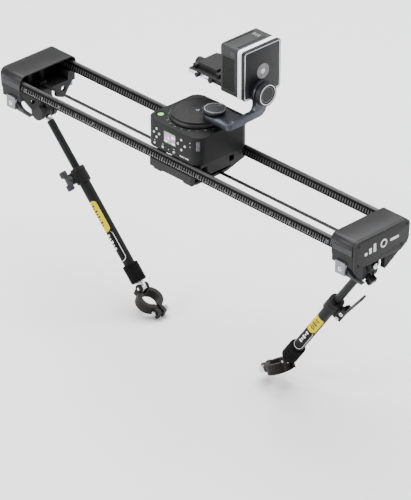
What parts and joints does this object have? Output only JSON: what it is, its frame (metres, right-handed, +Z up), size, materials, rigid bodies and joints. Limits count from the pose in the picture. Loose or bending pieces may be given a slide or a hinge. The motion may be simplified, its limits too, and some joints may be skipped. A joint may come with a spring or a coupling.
{
  "type": "camera slider",
  "caption": "Motorised camera slider: belt-driven carriage on two rails, pan and tilt head, folding end feet and two telescopic support arms.",
  "frame": {"origin": "centre of the tripod face under the middle of the slider", "axes": "+X along the rails, +Z up; the controller's keys face -Y"},
  "size_m": [0.8268, 0.164, 0.533],
  "materials": {
    "anodised_black": "black anodised, satin",
    "arm_blue_grey": "blue-grey bead blasted, bright chamfers",
    "bare_metal": "satin machined",
    "cast_grey": "dark grey satin coat",
    "key_grey": "light grey moulded",
    "level_green": "green translucent",
    "moulded_black": "fine textured black",
    "rubber": "black moulded",
    "screen_glass": "dark glass over a lit display"
  },
  "bodies": {
    "frame": {"rail_front": "anodised_black", "rail_rear": "anodised_black", "drive_belt": "rubber", "end_frame_left": "cast_grey", "end_frame_right": "cast_grey", "end_cover_left": "cast_grey", "end_cover_right": "cast_grey", "end_plate_left": "cast_grey", "end_plate_right": "cast_grey", "foot_hinge_front_left": "bare_metal", "foot_hinge_front_right": "bare_metal", "foot_hinge_rear_left": "bare_metal", "foot_hinge_rear_right": "bare_metal", "tripod_bracket": "cast_grey"},
    "carriage": {"carriage_chassis": "moulded_black", "controller_case": "moulded_black", "display_window": "screen_glass", "bubble_level": "level_green", "slide_motor": "bare_metal", "control_board": "level_green"},
    "pan_head": {"pan_disc": "moulded_black", "l_arm": "arm_blue_grey", "tilt_housing": "moulded_black", "tilt_face_plate": "arm_blue_grey"},
    "camera_tray": {"camera_clamp": "moulded_black"},
    "roller_front_left": {"roller_front_left": "rubber"},
    "roller_front_right": {"roller_front_right": "rubber"},
    "roller_rear_left": {"roller_rear_left": "rubber"},
    "roller_rear_right": {"roller_rear_right": "rubber"},
    "drive_pulley": {"drive_pulley": "bare_metal"},
    "left_keypad": {"left_keypad": "key_grey"},
    "right_keypad": {"right_keypad": "key_grey"},
    "home_key": {"home_key": "key_grey"},
    "menu_key": {"menu_key": "key_grey"},
    "run_key": {"run_key": "key_grey"},
    "thumbwheel": {"thumbwheel": "key_grey"},
    "pan_lock_cap": {"pan_lock_cap": "moulded_black"},
    "tilt_lock_cap": {"tilt_lock_cap": "moulded_black"},
    "camera_plate": {"camera_plate": "bare_metal"},
    "clamp_knob": {"clamp_knob": "moulded_black"},
    "foot_leg_front_left": {"foot_leg_front_left": "cast_grey"},
    "foot_leg_front_right": {"foot_leg_front_right": "cast_grey"},
    "foot_leg_rear_left": {"foot_leg_rear_left": "cast_grey"},
    "foot_leg_rear_right": {"foot_leg_rear_right": "cast_grey"},
    "left_arm_knuckle": {"left_arm_knuckle": "cast_grey"},
    "left_arm_rod": {"left_arm_rod": "anodised_black"},
    "left_arm_knuckle_knob": {"left_arm_knuckle_knob": "moulded_black"},
    "left_arm_tube": {"left_arm_tube": "anodised_black", "left_arm_end_sleeve": "rubber"},
    "left_arm_tube_lock": {"left_arm_tube_lock": "moulded_black"},
    "left_arm_leg_clamp": {"left_arm_leg_clamp": "moulded_black"},
    "left_arm_clamp_screw": {"left_arm_clamp_screw": "bare_metal"},
    "right_arm_knuckle": {"right_arm_knuckle": "cast_grey"},
    "right_arm_rod": {"right_arm_rod": "anodised_black"},
    "right_arm_knuckle_knob": {"right_arm_knuckle_knob": "moulded_black"},
    "right_arm_tube": {"right_arm_tube": "anodised_black", "right_arm_end_sleeve": "rubber"},
    "right_arm_tube_lock": {"right_arm_tube_lock": "moulded_black"},
    "right_arm_leg_clamp": {"right_arm_leg_clamp": "moulded_black"},
    "right_arm_clamp_screw": {"right_arm_clamp_screw": "bare_metal"}
  },
  "joints": [
    {"name": "carriage_slide", "type": "slide", "parent": "frame", "child": "carriage", "axis": [1, 0, 0], "range_m": [-0.29, 0.29]},
    {"name": "roller_front_left_spin", "type": "hinge", "parent": "carriage", "child": "roller_front_left", "pos_m": [-0.04, -0.0403, 0.0284], "axis": [0, 0, 1], "range_deg": [-2100, 2100]},
    {"name": "roller_front_right_spin", "type": "hinge", "parent": "carriage", "child": "roller_front_right", "pos_m": [0.04, -0.0403, 0.0284], "axis": [0, 0, 1], "range_deg": [-2100, 2100]},
    {"name": "roller_rear_left_spin", "type": "hinge", "parent": "carriage", "child": "roller_rear_left", "pos_m": [-0.04, 0.0403, 0.0284], "axis": [0, 0, 1], "range_deg": [-2100, 2100]},
    {"name": "roller_rear_right_spin", "type": "hinge", "parent": "carriage", "child": "roller_rear_right", "pos_m": [0.04, 0.0403, 0.0284], "axis": [0, 0, 1], "range_deg": [-2100, 2100]},
    {"name": "pulley_spin", "type": "hinge", "parent": "carriage", "child": "drive_pulley", "pos_m": [0, 0, 0.014], "axis": [0, 1, 0], "range_deg": [-2800, 2800]},
    {"name": "left_keypad_press", "type": "slide", "parent": "carriage", "child": "left_keypad", "axis": [0, 1, 0], "range_m": [0, 0.0008], "stiffness_N_per_m": 400},
    {"name": "right_keypad_press", "type": "slide", "parent": "carriage", "child": "right_keypad", "axis": [0, 1, 0], "range_m": [0, 0.0008], "stiffness_N_per_m": 400},
    {"name": "home_key_press", "type": "slide", "parent": "carriage", "child": "home_key", "axis": [0, 1, 0], "range_m": [0, 0.0008], "stiffness_N_per_m": 400},
    {"name": "menu_key_press", "type": "slide", "parent": "carriage", "child": "menu_key", "axis": [0, 1, 0], "range_m": [0, 0.0008], "stiffness_N_per_m": 400},
    {"name": "run_key_press", "type": "slide", "parent": "carriage", "child": "run_key", "axis": [0, 1, 0], "range_m": [0, 0.0008], "stiffness_N_per_m": 400},
    {"name": "thumbwheel_turn", "type": "hinge", "parent": "carriage", "child": "thumbwheel", "pos_m": [0.04822, -0.04572, 0.0716], "axis": [0.7071, 0.7071, 0], "continuous": true},
    {"name": "pan", "type": "hinge", "parent": "carriage", "child": "pan_head", "pos_m": [0, 0, 0.0864], "axis": [0, 0, 1], "continuous": true},
    {"name": "pan_lock", "type": "hinge", "parent": "pan_head", "child": "pan_lock_cap", "pos_m": [0.038, 0, 0.1086], "axis": [0, 0, 1], "range_deg": [0, 90]},
    {"name": "tilt_lock", "type": "hinge", "parent": "pan_head", "child": "tilt_lock_cap", "pos_m": [0.0888, 0.054, 0.141], "axis": [1, 0, 0], "range_deg": [0, 90]},
    {"name": "tilt", "type": "hinge", "parent": "pan_head", "child": "camera_tray", "pos_m": [0.029, 0.0625, 0.1723], "axis": [1, 0, 0], "range_deg": [-60, 90]},
    {"name": "camera_plate_slide", "type": "slide", "parent": "camera_tray", "child": "camera_plate", "axis": [0, 1, 0], "range_m": [-0.02, 0.02]},
    {"name": "clamp_knob_turn", "type": "hinge", "parent": "camera_tray", "child": "clamp_knob", "pos_m": [0, 0.0625, 0.1377], "axis": [1, 0, 0], "continuous": true},
    {"name": "foot_fold_front_left", "type": "hinge", "parent": "frame", "child": "foot_leg_front_left", "pos_m": [-0.372, -0.055, -0.008], "axis": [0, 1, 0], "range_deg": [0, 105]},
    {"name": "foot_fold_front_right", "type": "hinge", "parent": "frame", "child": "foot_leg_front_right", "pos_m": [0.372, -0.055, -0.008], "axis": [0, 1, 0], "range_deg": [0, 105]},
    {"name": "foot_fold_rear_left", "type": "hinge", "parent": "frame", "child": "foot_leg_rear_left", "pos_m": [-0.372, 0.055, -0.008], "axis": [0, -1, 0], "range_deg": [0, 105]},
    {"name": "foot_fold_rear_right", "type": "hinge", "parent": "frame", "child": "foot_leg_rear_right", "pos_m": [0.372, 0.055, -0.008], "axis": [0, -1, 0], "range_deg": [0, 105]},
    {"name": "left_arm_swing", "type": "hinge", "parent": "frame", "child": "left_arm_knuckle", "pos_m": [-0.3615, 0, -0.022], "axis": [1, 0, 0], "range_deg": [-15, 15]},
    {"name": "left_arm_lean", "type": "hinge", "parent": "left_arm_knuckle", "child": "left_arm_rod", "pos_m": [-0.3615, 0, -0.039], "axis": [0, -1, 0], "range_deg": [-26, 36]},
    {"name": "left_arm_knob_turn", "type": "hinge", "parent": "left_arm_rod", "child": "left_arm_knuckle_knob", "pos_m": [-0.3615, 0, -0.039], "axis": [-0.7181, 0, -0.6959], "continuous": true},
    {"name": "left_arm_telescope", "type": "slide", "parent": "left_arm_rod", "child": "left_arm_tube", "axis": [-0.6959, 0, 0.7181], "range_m": [-0.0555, 0.0595]},
    {"name": "left_arm_wing_turn", "type": "hinge", "parent": "left_arm_tube", "child": "left_arm_tube_lock", "pos_m": [-0.2759, -0.0198, -0.12733], "axis": [0, -1, 0], "continuous": true},
    {"name": "left_arm_clamp_tilt", "type": "hinge", "parent": "left_arm_tube", "child": "left_arm_leg_clamp", "pos_m": [-0.13046, 0, -0.27742], "axis": [0, -1, 0], "range_deg": [-31, 44]},
    {"name": "left_arm_clamp_screw_turn", "type": "hinge", "parent": "left_arm_leg_clamp", "child": "left_arm_clamp_screw", "pos_m": [-0.09118, 0, -0.30677], "axis": [0, -1, 0], "continuous": true},
    {"name": "right_arm_swing", "type": "hinge", "parent": "frame", "child": "right_arm_knuckle", "pos_m": [0.3615, 0, -0.022], "axis": [1, 0, 0], "range_deg": [-15, 15]},
    {"name": "right_arm_lean", "type": "hinge", "parent": "right_arm_knuckle", "child": "right_arm_rod", "pos_m": [0.3615, 0, -0.039], "axis": [0, 1, 0], "range_deg": [-17, 45]},
    {"name": "right_arm_knob_turn", "type": "hinge", "parent": "right_arm_rod", "child": "right_arm_knuckle_knob", "pos_m": [0.3615, 0, -0.039], "axis": [0.8192, 0, -0.5736], "continuous": true},
    {"name": "right_arm_telescope", "type": "slide", "parent": "right_arm_rod", "child": "right_arm_tube", "axis": [0.5736, 0, 0.8192], "range_m": [-0.072, 0.043]},
    {"name": "right_arm_lever_flip", "type": "hinge", "parent": "right_arm_tube", "child": "right_arm_tube_lock", "pos_m": [0.31717, 0.00492, -0.13431], "axis": [-0.212, 0.9659, 0.1485], "range_deg": [0, 90]},
    {"name": "right_arm_clamp_tilt", "type": "hinge", "parent": "right_arm_tube", "child": "right_arm_leg_clamp", "pos_m": [0.20033, 0, -0.26918], "axis": [0, 1, 0], "range_deg": [-40, 35]},
    {"name": "right_arm_clamp_screw_turn", "type": "hinge", "parent": "right_arm_leg_clamp", "child": "right_arm_clamp_screw", "pos_m": [0.16105, 0, -0.29853], "axis": [0, 1, 0], "continuous": true}
  ],
  "couplings": [
    {"joint": "roller_front_left_spin", "follows": "carriage_slide", "rad_per_m": -125},
    {"joint": "roller_front_right_spin", "follows": "carriage_slide", "rad_per_m": -125},
    {"joint": "roller_rear_left_spin", "follows": "carriage_slide", "rad_per_m": 125},
    {"joint": "roller_rear_right_spin", "follows": "carriage_slide", "rad_per_m": 125},
    {"joint": "pulley_spin", "follows": "carriage_slide", "rad_per_m": 166.67}
  ]
}
